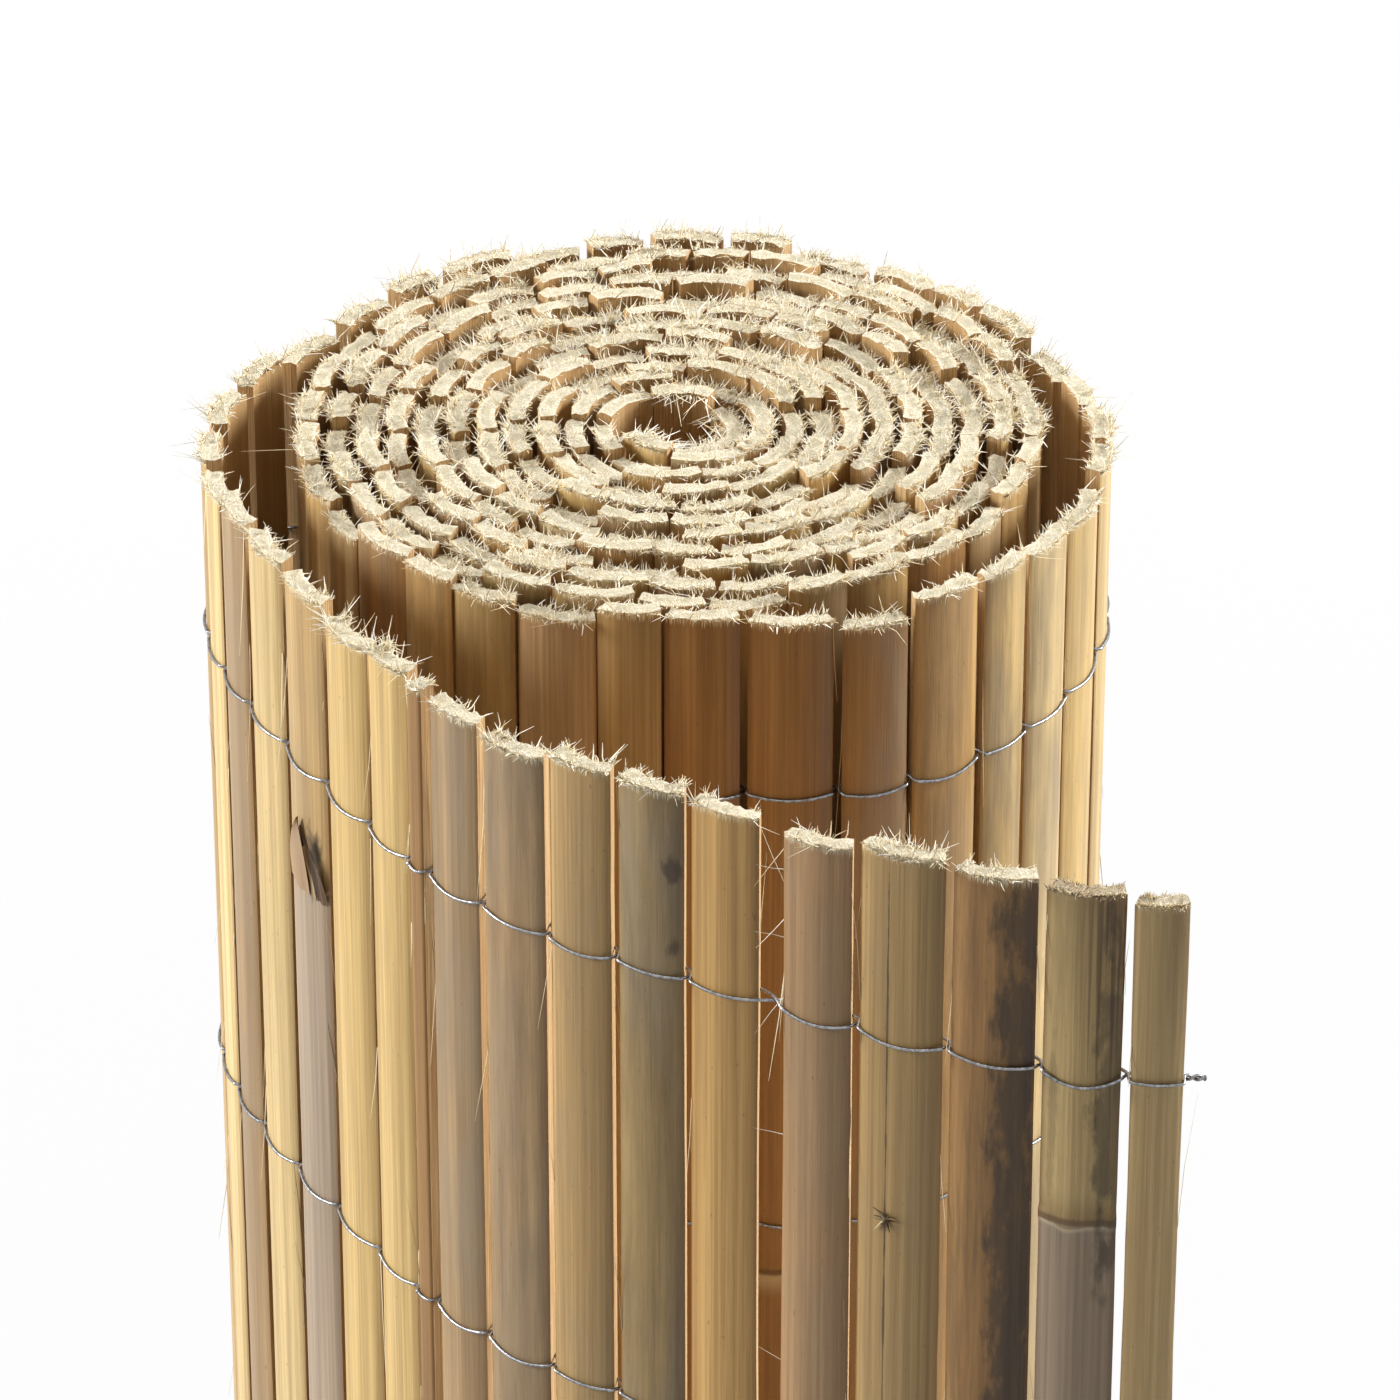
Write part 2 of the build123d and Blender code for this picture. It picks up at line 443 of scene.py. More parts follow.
def dress_slat(piece, slat, look, rng, columns, row_height):
    """The slat's skin, back, split edges and sawn ends."""
    values = SlatValues(slat, look, rng.uniform(0.0, 50.0))
    near_nodes = [node + step for node in look.nodes for step in NODE_STEPS]
    levels = np.linspace(0.0, slat.height - END_REACH, round(slat.height / row_height))
    levels = np.sort(np.append(levels, near_nodes + [slat.height]))
    up = levels / slat.height
    even = np.linspace(-1.0, 1.0, columns)

    # The split edges wander a little, never far from the straight edge
    half_width = CANE_RADIUS * slat.half_angle
    insets = []
    for _ in range(2):
        insets.append(wander(rng, up, *EDGE_LONG_WAVES) + wander(rng, up, *EDGE_SHORT_WAVES))
    inset = np.clip(np.stack(insets) - EDGE_FULLNESS, -EDGE_OUTMOST, EDGE_INMOST) / half_width
    low = inset[0][:, None] - 1.0
    high = 1.0 - inset[1][:, None]
    share = low + (high - low) * (even + 1.0) / 2.0

    # The sawn end is rough and not quite level
    depths = np.array(END_DEPTHS)
    slope = rng.uniform(-END_SLOPE, END_SLOPE)
    rough = rng.uniform(*END_ROUGHNESS, (len(depths), columns)) + slope * even
    end_height = slat.height - END_DROP + rough
    heights = np.repeat(levels[:, None], columns, axis=1)

    # A node of the cane is a low ridge with a groove above it
    ridge = np.zeros(len(levels))
    for node in look.nodes:
        ridge += RIDGE_HEIGHT * np.exp(-(((levels - node) / RIDGE_REACH) ** 2))
        ridge -= GROOVE_DEPTH * np.exp(-(((levels - node - GROOVE_ABOVE_NODE) / GROOVE_REACH) ** 2))
    near_edge = np.clip((abs(even) - (1.0 - ROUNDED_SHARE)) / ROUNDED_SHARE, 0.0, 1.0)
    rounded = EDGE_ROUNDING * near_edge**2
    skin_radius = CANE_RADIUS + ridge[:, None] - rounded
    back_radius = CANE_RADIUS - WALL

    # Skin, back, split edges, sawn end and foot, each with a stretch of the grain to itself
    heights[-1] = end_height[0]
    piece.add(slat.at(share, skin_radius, heights), SKIN, **values.of(share, heights, 0.0, 0.0))
    heights[-1] = end_height[-1]
    piece.add(slat.at(share, back_radius, heights), SPLIT, True, **values.of(share, heights, 1.0, 0.1))
    for side, flip in ((0, True), (-1, False)):
        radii = skin_radius[:, side][:, None] * (1.0 - depths) + back_radius * depths
        edge = np.repeat(share[:, side][:, None], len(depths), axis=1)
        edge_heights = np.repeat(levels[:, None], len(depths), axis=1)
        edge_heights[-1] = end_height[:, side]
        edge_values = values.of(edge, edge_heights, depths[None, :], 0.2)
        piece.add(slat.at(edge, radii, edge_heights), SPLIT, flip, **edge_values)
    across = np.repeat(share[-1:], len(depths), axis=0)
    radii = skin_radius[-1] * (1.0 - depths[:, None]) + back_radius * depths[:, None]
    end_values = values.of(across, end_height, depths[:, None], 0.3)
    piece.add(slat.at(across, radii, end_height), END, **end_values)
    foot = np.repeat(share[:1], len(depths), axis=0)
    foot_values = values.of(foot, np.zeros(foot.shape), depths[:, None], 0.4)
    piece.add(slat.at(foot, radii, np.zeros(foot.shape)), END, True, **foot_values)


def add_hairs(piece, roots, ways, lengths, curls, thickness, shade):
    """Thin tapering fibres from their roots, each bent by its curl.

    Their material reads the shade as the grain's third number.
    """
    steps = np.array(HAIR_STEPS)[:, None]
    reach = lengths[:, None, None]
    paths = roots[:, None, :] + reach * (ways[:, None, :] * steps + curls[:, None, :] * steps**2)
    radii = thickness[:, None] * np.array(HAIR_TAPER)
    grain = np.stack([roots[:, 1], roots[:, 2], shade], axis=1)[:, None, None]
    piece.add(tubes(paths, radii, HAIR_SIDES), FIBRE, grain=grain)


def fray_end(piece, slat, look, rng, count):
    """Stubs in clumps along the rims of a slat's sawn end, and a few long hairs that lie over it."""
    left = rng.choice(FRAY_SHARES)
    count = max(FEWEST_STUBS, round(count * slat.half_angle / USUAL_HALF_ANGLE * left))

    # Most stubs stand on the skin's rim, some on the back's rim and a few between them
    side = rng.random(count)
    at_skin = rng.uniform(0.02, 0.14, count)
    at_back = rng.uniform(0.86, 0.98, count)
    between = rng.uniform(0.1, 0.9, count)
    depth = np.where(side < SKIN_RIM_SHARE, at_skin, at_back)
    depth = np.where(side > BOTH_RIMS_SHARE, between, depth)

    # About a third stand anywhere, and the others in clumps. Most lean away from the wall's middle
    clumps = rng.uniform(-0.95, 0.95, CLUMPS)
    share = rng.choice(clumps, count) + rng.normal(0.0, 0.10, count)
    share = np.where(rng.random(count) < 0.35, rng.uniform(-0.97, 0.97, count), np.clip(share, -0.98, 0.98))
    roots = slat.at(share, CANE_RADIUS - WALL * depth, slat.height - 0.0012)
    lengths = 0.001 + np.minimum(rng.exponential(0.0009, count), 0.0035) * look.fuzz
    out, _ = sideways(slat)
    ways = rng.normal(0.0, 0.45, (count, 3)) + np.where(depth < 0.5, 0.55, -0.45)[:, None] * out
    ways[:, 2] = 0.35 + abs(ways[:, 2])

    # The long hairs are thin, lie flatter and droop
    long_ones = rng.random(count) < LONG_HAIRS
    lengths[long_ones] = rng.uniform(0.003, 0.010, long_ones.sum()) * min(look.fuzz, 1.0)
    ways[long_ones, 2] *= 0.45
    ways /= np.linalg.norm(ways, axis=1, keepdims=True)
    curls = rng.normal(0.0, 0.35, (count, 3))
    curls[:, 2] = np.where(long_ones, -0.1, curls[:, 2])
    thickness = rng.uniform(0.00012, 0.00028, count)
    thickness[long_ones] = rng.uniform(0.0001, 0.00016, long_ones.sum())
    shade = np.where(long_ones, rng.uniform(0.2, 0.7, count), rng.random(count)) - look.burnt
    add_hairs(piece, roots, ways, lengths, curls, thickness, shade)


def fill_core(piece, slat, rng, count):
    """Long fibres that curl from the innermost slats into the roll's hollow core."""
    out, aside = sideways(slat)
    depth = rng.uniform(0.5, 0.97, count)
    roots = slat.at(rng.uniform(-0.95, 0.95, count), CANE_RADIUS - WALL * depth, slat.height - 0.0014)
    ways = rng.uniform(-0.7, 0.7, (count, 1)) * aside - rng.uniform(0.5, 1.0, (count, 1)) * out
    ways[:, 2] = rng.uniform(-0.05, 0.3, count)
    curls = rng.normal(0.0, 0.4, (count, 3))
    curls[:, 2] = rng.uniform(-0.4, 0.0, count)
    thickness = rng.uniform(0.00012, 0.0003, count)
    add_hairs(piece, roots, ways, rng.uniform(0.003, 0.010, count), curls, thickness, rng.random(count))


def peel_edges(piece, slat, rng, count):
    """Splinters that came loose along the slat's split edges."""
    side = rng.choice((-1.0, 1.0), count)
    height = slat.height * (1.0 - rng.random(count) ** 1.4 * 0.97)
    lengths = rng.uniform(0.006, 0.045, count)
    height = np.clip(height, 0.05, slat.height - 0.002)
    roots = slat.at(side * 0.985, CANE_RADIUS - WALL * rng.uniform(0.0, 0.5, count), height)
    out, aside = sideways(slat)
    outwards = side[:, None] * aside
    ways = outwards * rng.uniform(-0.02, 0.08, (count, 1)) + out * rng.uniform(0.0, 0.05, (count, 1))
    ways[:, 2] = rng.choice((-1.0, 1.0), count)
    ways[:, 2] = np.where(height + lengths > slat.height, -1.0, ways[:, 2])
    curls = outwards * rng.uniform(0.0, 0.06, (count, 1)) + out * rng.uniform(0.0, 0.08, (count, 1))
    thickness = rng.uniform(0.0001, 0.00022, count)
    add_hairs(piece, roots, ways, lengths, curls, thickness, rng.uniform(-0.35, 0.4, count))


def bud_scar(piece, slat, share, height, rng):
    """The brown stubs of a bud, spread like a star on the skin."""
    count = 11
    out, aside = sideways(slat)
    turn = np.linspace(0.0, 2.0 * math.pi, count, endpoint=False) + rng.uniform(-0.25, 0.25, count)
    ways = np.cos(turn)[:, None] * aside + np.sin(turn)[:, None] * np.array([0.0, 0.0, 1.0]) + 0.12 * out
    roots = np.repeat(slat.at(share, CANE_RADIUS + 0.0001, height)[None], count, axis=0)
    lengths = rng.uniform(0.002, 0.0052, count)
    curls = rng.normal(0.0, 0.12, (count, 3)) + 0.1 * out
    thickness = rng.uniform(0.0003, 0.0005, count)
    add_hairs(piece, roots, ways, lengths, curls, thickness, rng.uniform(-0.9, -0.35, count))


def torn_husk(piece, slat, height, rng):
    """A sheath torn open: a pale leaf on the left, a dark curled lip on the right and a sliver between."""
    rise = np.linspace(0.0, 1.0, 10)[:, None]
    spread = np.linspace(0.0, 1.0, 6)[None, :]
    for left, right, tip, tall, lift, look in HUSK_SCALES:
        values = SlatValues(slat, look, rng.uniform(0.0, 50.0))
        pointed = rise**1.7
        shares = (left + (right - left) * spread) * (1.0 - pointed) + tip * pointed
        ripple = 0.0006 * np.sin(9.0 * spread) * (1.0 - rise)
        heights = height - HUSK_FOOT + (tall + HUSK_FOOT) * rise + ripple
        curl = 0.0007 * (2.0 * spread - 1.0) ** 2 * rise
        radii = CANE_RADIUS + 0.0003 + lift * np.sin(0.5 * math.pi * rise) + curl
        scale_values = values.of(shares, heights, 0.0, 0.5)
        scale_values["spans"] = HUSK_SPANS
        piece.add(slat.at(shares, radii, heights), SKIN, **scale_values)


def bridge_gap(piece, slat, other, levels, rng):
    """Torn fibres that cross from one slat's edge to the next slat."""
    count = len(levels)
    levels = np.array(levels)
    near = edge_share(slat, other.middle)
    far = edge_share(other, slat.middle)
    roots = slat.at(np.full(count, near * 0.98), CANE_RADIUS - 0.001, levels)
    tip_levels = levels + rng.uniform(-0.016, 0.016, count)
    tips = other.at(np.full(count, far * 0.98), CANE_RADIUS - 0.0005, tip_levels)
    ways = tips - roots
    lengths = np.linalg.norm(ways, axis=1)
    out, _ = sideways(slat)
    curls = 0.05 * out + rng.normal(0.0, 0.08, (count, 3))
    shade = rng.uniform(0.1, 0.8, count)
    thickness = rng.uniform(0.0001, 0.00016, count)
    add_hairs(piece, roots, ways / lengths[:, None], lengths, curls, thickness, shade)


def add_slat(piece, slat, look, rng, detail):
    """A whole slat: its sides, the fuzz on its sawn end and the splinters along its edges."""
    columns, row_height, stubs, splinters = detail
    dress_slat(piece, slat, look, rng, columns, row_height)
    fray_end(piece, slat, look, rng, stubs)
    peel_edges(piece, slat, rng, splinters)


# Materials


class Shader:
    """A node material under construction."""

    def __init__(self, name):
        self.material = bpy.data.materials.new(name)
        self.material.use_nodes = True
        self.tree = self.material.node_tree
        self.surface = self.tree.nodes["Principled BSDF"]

    def put(self, socket, value):
        """Link or set one socket."""
        if isinstance(value, bpy.types.NodeSocket):
            self.tree.links.new(value, socket)
        elif isinstance(value, tuple) and socket.type == "RGBA":
            socket.default_value = value + (1.0,) * (4 - len(value))
        else:
            socket.default_value = value

    def node(self, kind, inputs=(), **settings):
        """A new node with its inputs and settings."""
        node = self.tree.nodes.new(kind)
        for name, value in settings.items():
            setattr(node, name, value)
        for name, value in dict(inputs).items():
            self.put(node.inputs[name], value)
        return node

    def value(self, name):
        """The three numbers stored on the mesh under that name."""
        return self.node("ShaderNodeAttribute", attribute_name=name).outputs["Vector"]

    def parts(self, vector):
        """A vector's three numbers."""
        return self.node("ShaderNodeSeparateXYZ", {"Vector": vector}).outputs

    def calc(self, operation, first, second=0.0):
        """The result of a calculation with one or two numbers."""
        return self.node("ShaderNodeMath", {0: first, 1: second}, operation=operation).outputs[0]

    def span(self, value, low, high, start=0.0, end=1.0):
        """A smooth step from one number to another while the value goes from low to high."""
        inputs = {"Value": value, "From Min": low, "From Max": high, "To Min": start, "To Max": end}
        return self.node("ShaderNodeMapRange", inputs, interpolation_type="SMOOTHSTEP").outputs[0]

    def mix(self, share, first, second):
        """A colour between two colours."""
        node = self.node("ShaderNodeMix", {0: share, 6: first, 7: second}, data_type="RGBA")
        return node.outputs[2]

    def times(self, colour, factor):
        """A colour made darker or lighter."""
        node = self.node("ShaderNodeMix", {0: 1.0, 6: colour}, data_type="RGBA", blend_type="MULTIPLY")
        self.put(node.inputs[7], factor)
        return node.outputs[2]

    def noise(self, vector, stretch, detail=2.0, roughness=0.5):
        """Noise with its own fineness along each of the vector's directions."""
        scaled = self.node("ShaderNodeVectorMath", {0: vector, 1: stretch}, operation="MULTIPLY").outputs[0]
        inputs = {"Vector": scaled, "Scale": 1.0, "Detail": detail, "Roughness": roughness}
        return self.node("ShaderNodeTexNoise", inputs).outputs[0]

    def finish(self, colour, roughness, relief=None, strength=0.2, distance=0.0003):
        """Set the surface's colour, gloss and fine relief."""
        self.put(self.surface.inputs["Base Color"], colour)
        self.put(self.surface.inputs["Roughness"], roughness)
        if relief is not None:
            inputs = {"Height": relief, "Strength": strength, "Distance": distance}
            self.put(self.surface.inputs["Normal"], self.node("ShaderNodeBump", inputs).outputs[0])
        return self.material


# Colours of wear on the skin
GREY_FILM = srgb(150, 134, 110)
SPECK = srgb(96, 72, 44)
MOULD = srgb(52, 42, 30)
TORN_STREAK = srgb(78, 50, 26)
BRITTLE_TOP = srgb(126, 92, 54)
WAXY_BAND = srgb(206, 192, 160)
NODE_LINE = srgb(92, 64, 36)
DRY_SHEATH = srgb(168, 148, 126)
SHEATH_RIM = srgb(214, 198, 166)
SHEATH_SHADOW = srgb(104, 74, 42)
DARK_MARK = srgb(52, 40, 27)
EDGE_BROWN = srgb(140, 98, 52)


def oval_mark(shader, name, ragged):
    """How strongly an oval mark with a ragged rim shows, from nothing to its full strength."""
    across, up, strength = shader.parts(shader.value(name))
    flat = shader.node("ShaderNodeCombineXYZ", {"X": across, "Y": up}).outputs[0]
    reach = shader.node("ShaderNodeVectorMath", {0: flat}, operation="LENGTH").outputs["Value"]
    reach = shader.calc("ADD", reach, shader.span(ragged, 0.25, 0.75, -0.45, 0.45))
    return shader.calc("MULTIPLY", shader.span(reach, 0.4, 1.05, 1.0, 0.0), strength)


def skin_material():
    """The cane's smooth skin: lengthwise streaks, weathering, nodes, sheath and marks."""
    skin = Shader("bamboo_skin")
    grain = skin.value("grain")
    stain, film, burnt = skin.parts(skin.value("wear"))
    to_node, sheath, below_top = skin.parts(skin.value("spans"))
    to_edge, share, _ = skin.parts(skin.value("rim"))
    broad = skin.noise(grain, (170.0, 3.0, 3.0), 2.0)
    streak = skin.noise(grain, (900.0, 7.0, 5.0), 3.0, 0.6)
    fine = skin.noise(grain, (5200.0, 60.0, 9.0), 2.0, 0.6)
    blotch = skin.noise(grain, (210.0, 16.0, 2.0), 5.0, 0.7)
    waver = skin.noise(grain, (130.0, 20.0, 8.0), 1.0)
    cloud = skin.noise(grain, (70.0, 16.0, 4.0), 3.0)
    speck = skin.noise(grain, (900.0, 330.0, 6.0), 2.0)
    ragged = skin.noise(grain, (240.0, 75.0, 5.0), 4.0, 0.6)

    # Streaks of three widths: where each noise starts and ends, and the shades between which it runs
    colour = skin.value("tone")
    for noise, low, high, darkest, lightest in (
        (broad, 0.3, 0.7, (0.80, 0.76, 0.70), (1.12, 1.11, 1.09)),
        (streak, 0.32, 0.68, (0.79, 0.74, 0.68), (1.10, 1.09, 1.08)),
        (fine, 0.3, 0.7, (0.93, 0.91, 0.88), (1.05, 1.05, 1.05)),
    ):
        colour = skin.times(colour, skin.mix(skin.span(noise, low, high), darkest, lightest))

    # Weathering: a grey film, small specks and dark mould
    grey = skin.calc("MULTIPLY", skin.span(cloud, 0.36, 0.62), film)
    colour = skin.mix(grey, colour, skin.times(GREY_FILM, skin.span(fine, 0.2, 0.8, 0.85, 1.1)))
    dots = skin.calc("MULTIPLY", skin.span(speck, 0.70, 0.78), 0.4)
    colour = skin.mix(dots, colour, SPECK)
    lined = skin.calc("ADD", skin.calc("MULTIPLY", blotch, 0.62), skin.calc("MULTIPLY", streak, 0.38))
    mould = skin.calc("MULTIPLY", skin.span(lined, 0.42, 0.62), stain)
    colour = skin.mix(mould, colour, MOULD)

    # Dark torn streaks that run down from a brittle top
    down = skin.calc("ADD", below_top, skin.span(streak, 0.3, 0.7, 0.035, -0.035))
    tear = skin.calc("MULTIPLY", skin.span(down, 0.0, 0.045, 1.0, 0.0), burnt)
    tear = skin.calc("MULTIPLY", tear, skin.span(share, -0.6, 0.6, 0.2, 1.0))
    colour = skin.mix(tear, colour, TORN_STREAK)
    whole_top = skin.calc("MULTIPLY", skin.span(below_top, 0.0, 0.11, 0.25, 0.0), burnt)
    colour = skin.mix(whole_top, colour, BRITTLE_TOP)

    # Node of the cane: a dark line with a pale waxy band under it
    near = skin.calc("ADD", to_node, skin.span(waver, 0.3, 0.7, -0.0006, 0.0006))
    over_band = skin.span(near, -0.001, 0.0005, 1.0, 0.0)
    band = skin.calc("MULTIPLY", skin.span(near, -0.009, -0.002), over_band)
    colour = skin.mix(skin.calc("MULTIPLY", band, 0.55), colour, WAXY_BAND)
    line = skin.span(skin.calc("ABSOLUTE", near), 0.0004, 0.0016, 1.0, 0.0)
    colour = skin.mix(skin.calc("MULTIPLY", line, 0.75), colour, NODE_LINE)

    # Dry sheath that still clings below some nodes
    torn_line = skin.calc("ADD", sheath, skin.span(waver, 0.25, 0.75, -0.002, 0.002))
    husk = skin.times(DRY_SHEATH, skin.span(streak, 0.25, 0.75, 0.72, 1.22))
    husk = skin.mix(skin.span(torn_line, -0.0022, -0.0006, 0.0, 0.75), husk, SHEATH_RIM)
    colour = skin.mix(skin.span(torn_line, 0.0, 0.012, 0.5, 0.0), colour, SHEATH_SHADOW)
    colour = skin.mix(skin.span(torn_line, -0.0008, 0.0, 0.92, 0.0), colour, husk)

    # Marks, one of them painted shade in a torn sheath's opening, darker edges and the bleached rim at the
    # sawn end
    dark = skin.calc("MAXIMUM", oval_mark(skin, "mark_a", ragged), oval_mark(skin, "mark_b", ragged))
    dark = skin.calc("MULTIPLY", dark, skin.span(lined, 0.3, 0.62, 0.7, 1.0))
    colour = skin.mix(dark, colour, DARK_MARK)
    colour = skin.mix(skin.span(to_edge, 0.0, 0.0009, 0.45, 0.0), colour, EDGE_BROWN)
    frayed = skin.calc("ADD", below_top, skin.span(fine, 0.3, 0.7, -0.0016, 0.0016))
    sound = skin.calc("SUBTRACT", 1.0, burnt)
    bleached = skin.calc("MULTIPLY", skin.span(frayed, 0.0006, 0.0022, 0.8, 0.0), sound)
    colour = skin.mix(bleached, colour, CREAM)
    relief = skin.calc("ADD", fine, skin.calc("MULTIPLY", streak, 1.5))
    skin.put(skin.surface.inputs["Specular IOR Level"], 0.42)
    return skin.finish(colour, skin.span(streak, 0.2, 0.8, 0.38, 0.58), relief, 0.22)


def split_material():
    """The split edges and the inner side of the cane's wall: coarse pale fibres."""
    split = Shader("bamboo_split")
    grain = split.value("grain")
    depth = split.parts(split.value("rim"))[2]
    fibre = split.noise(grain, (2600.0, 26.0, 7.0), 3.0, 0.65)
    patch = split.noise(grain, (260.0, 9.0, 3.0), 3.0)
    colour = split.mix(split.span(fibre, 0.28, 0.72), srgb(166, 126, 78), srgb(222, 194, 144))
    colour = split.mix(split.span(patch, 0.35, 0.7, 0.0, 0.6), colour, srgb(182, 138, 84))
    colour = split.mix(split.span(depth, 0.75, 1.0, 0.0, 0.5), colour, srgb(190, 150, 96))
    return split.finish(colour, 0.68, fibre, 0.6, 0.0005)


def end_material():
    """The sawn ends: cream, dotted with the cane's fibre bundles, darker near the skin."""
    end = Shader("bamboo_end")
    depth = end.parts(end.value("rim"))[2]
    below_top = end.parts(end.value("spans"))[2]
    burnt = end.parts(end.value("wear"))[2]
    spread = end.node("ShaderNodeNewGeometry").outputs["Position"]
    bundle = end.noise(spread, (1500.0, 1500.0, 300.0), 3.0, 0.7)
    patch = end.noise(spread, (240.0, 240.0, 60.0), 2.0)
    saw = end.noise(end.value("grain"), (500.0, 3000.0, 3.0), 2.0)
    colour = end.mix(end.span(bundle, 0.3, 0.7), srgb(206, 190, 154), srgb(247, 241, 222))
    inside = end.calc("MULTIPLY", end.span(depth, 0.1, 0.4), end.span(depth, 0.6, 0.95, 1.0, 0.0))
    dusk = end.calc("MULTIPLY", inside, end.span(patch, 0.3, 0.7, 0.1, 0.7))
    colour = end.mix(dusk, colour, srgb(190, 178, 144))
    colour = end.mix(end.span(depth, 0.0, 0.13, 0.75, 0.0), colour, end.value("tone"))
    colour = end.mix(end.span(below_top, 0.3, 0.6), colour, srgb(186, 164, 122))
    torn = end.calc("MULTIPLY", end.span(bundle, 0.35, 0.6, 0.9, 0.45), burnt)
    colour = end.mix(torn, colour, srgb(132, 98, 58))
    relief = end.calc("ADD", bundle, end.calc("MULTIPLY", saw, 0.6))
    return end.finish(colour, 0.8, relief, 0.9, 0.0006)


def fibre_material():
    """Loose fibres, from brown to straw and cream."""
    fibre = Shader("bamboo_fibre")
    shade = fibre.parts(fibre.value("grain"))[2]
    colour = fibre.mix(fibre.span(shade, 0.0, 1.0), srgb(226, 208, 166), srgb(252, 248, 234))
    colour = fibre.mix(fibre.span(shade, -1.0, 0.0, 1.0, 0.0), colour, srgb(98, 70, 40))
    return fibre.finish(colour, 0.6)


def wire_material():
    """Thin galvanised wire, dull in places."""
    metal = Shader("galvanised_wire")
    spread = metal.node("ShaderNodeNewGeometry").outputs["Position"]
    dull = metal.noise(spread, (900.0, 900.0, 900.0), 3.0, 0.6)
    colour = metal.mix(metal.span(dull, 0.35, 0.7), srgb(158, 158, 160), srgb(104, 104, 106))
    metal.put(metal.surface.inputs["Metallic"], 1.0)
    return metal.finish(colour, metal.span(dull, 0.3, 0.7, 0.22, 0.45), dull, 0.15, 0.0001)


bamboo = [skin_material(), split_material(), end_material(), fibre_material()]

# A bud scar's place across the skin and its height, and a torn sheath's height
SCAR_PLACE = (-0.2, 0.805)
HUSK_HEIGHT = 0.823

# The flap's slats, counted from the free end. A mark gives its place across the skin, its height,
# half its width and height, and its strength
FLAP_LOOKS = (
    # The first slat's straw colour is partly painted light: chosen pale to make up for light that the lamps
    # don't bring to the free end
    Look("straw", burnt=0.4, nodes=(0.42,), fuzz=0.25),
    Look(
        "pale",
        stain=0.2,
        burnt=0.8,
        nodes=(0.50, 0.816),
        sheath=0.8155,
        marks=((0.85, 0.85, 0.0065, 0.06, 0.75), (-0.7, 0.845, 0.0016, 0.03, 0.3)),
        fuzz=0.25,
    ),
    Look("brown", stain=0.5, nodes=(0.36,), marks=((0.66, 0.80, 0.0085, 0.2, 0.9),), fuzz=0.6),
    Look(
        "olive",
        film=0.15,
        nodes=(0.45,),
        marks=((-0.22, 0.80, 0.00035, 0.2, 0.85), (*SCAR_PLACE, 0.0015, 0.0022, 0.8)),
    ),
    Look("rosy", film=0.25, stain=0.1, nodes=(0.40,), fuzz=1.2),
    Look("golden", nodes=(0.33, 0.62), fuzz=1.1),
    Look(
        "green",
        stain=0.35,
        film=0.6,
        nodes=(0.52,),
        marks=((0.70, 0.890, 0.0030, 0.0042, 0.75), (0.78, 0.868, 0.0028, 0.0048, 0.7)),
        fuzz=0.8,
    ),
    Look("tan", film=0.25, nodes=(0.38,)),
    Look("taupe", film=0.4, stain=0.32, nodes=(0.47,), fuzz=1.1),
    Look("taupe", film=0.6, stain=0.12, nodes=(0.55,), fuzz=1.1),
    Look("brown", nodes=(0.41,), fuzz=0.8),
    Look("yellow", nodes=(0.36,), fuzz=1.7),
    Look("yellow", nodes=(0.50,), fuzz=1.9),
    # Its mark is painted shade: the dark opening of the torn sheath, between the pale leaf and the dark lip
    Look("tan", film=0.3, nodes=(0.44,), sheath=HUSK_HEIGHT, marks=((0.5, 0.831, 0.0042, 0.012, 1.0),)),
    Look("pale", stain=0.12, nodes=(0.58,)),
    Look("taupe", film=0.3, nodes=(0.35,)),
    Look("pale", nodes=(0.49,)),
    Look("tan", nodes=(0.40,)),
)

# Scales of the torn sheath: their feet's two ends and their tips across the skin, how tall they are,
# how far they stand off, and their looks
HUSK_SCALES = (
    (-0.90, 0.34, -0.02, 0.0200, 0.0005, Look("rosy", stain=0.15, film=0.3)),
    (0.66, 0.98, 0.22, 0.0190, 0.0012, Look("char", stain=0.6)),
    (0.48, 0.60, 0.26, 0.0125, 0.0006, Look("taupe", film=0.5)),
)

# How far below the sheath's line the scales start, and their distances to a node, a sheath and the top,
# all too far to show
HUSK_FOOT = 0.003
HUSK_SPANS = (0.05, 1.0, 0.3)

# Slats of the flap with a form of their own, counted from 0: one with a bud's scar, one beside the wide
# gap, one with a torn sheath, and one that the top wire sags in front of
SCARRED = 3
BESIDE_WIDE_GAP = 4
HUSKED = 13
SAGGING = 1

# Heights of the torn fibres across the wide gap
BRIDGES = (0.906, 0.899, 0.894, 0.885, 0.879, 0.862, 0.82, 0.75, 0.66)

# Flap and loose outer turn in the order of the mat
flap_names = [f"flap_slat_{place:02d}" for place in range(1, len(FLAP_LOOKS) + 1)]
flap_slats = [read_slats(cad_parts[name])[0] for name in flap_names]
loose_slats = []
waiting = read_slats(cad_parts["loose_turn_slats"])
last_slat = flap_slats[-1]
while waiting:
    last_slat = min(waiting, key=lambda slat: np.linalg.norm(slat.middle - last_slat.middle))
    waiting.remove(last_slat)
    loose_slats.append(last_slat)


def show(piece, name, materials):
    """Build a piece that stands for the CAD node of the same name."""
    shown = piece.build("dressed_" + name, materials)
    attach(shown, "root")
    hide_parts(name)


for place, name in enumerate(flap_names):
    rng = np.random.default_rng(FLAP_SEED + place)
    piece = Piece()
    add_slat(piece, flap_slats[place], FLAP_LOOKS[place], rng, FLAP_DETAIL)
    if place == SCARRED:
        bud_scar(piece, flap_slats[place], *SCAR_PLACE, rng)
    if place == HUSKED:
        torn_husk(piece, flap_slats[place], HUSK_HEIGHT, rng)
    if place == BESIDE_WIDE_GAP:
        bridge_gap(piece, flap_slats[place], flap_slats[place + 1], BRIDGES, rng)
    show(piece, name, bamboo)

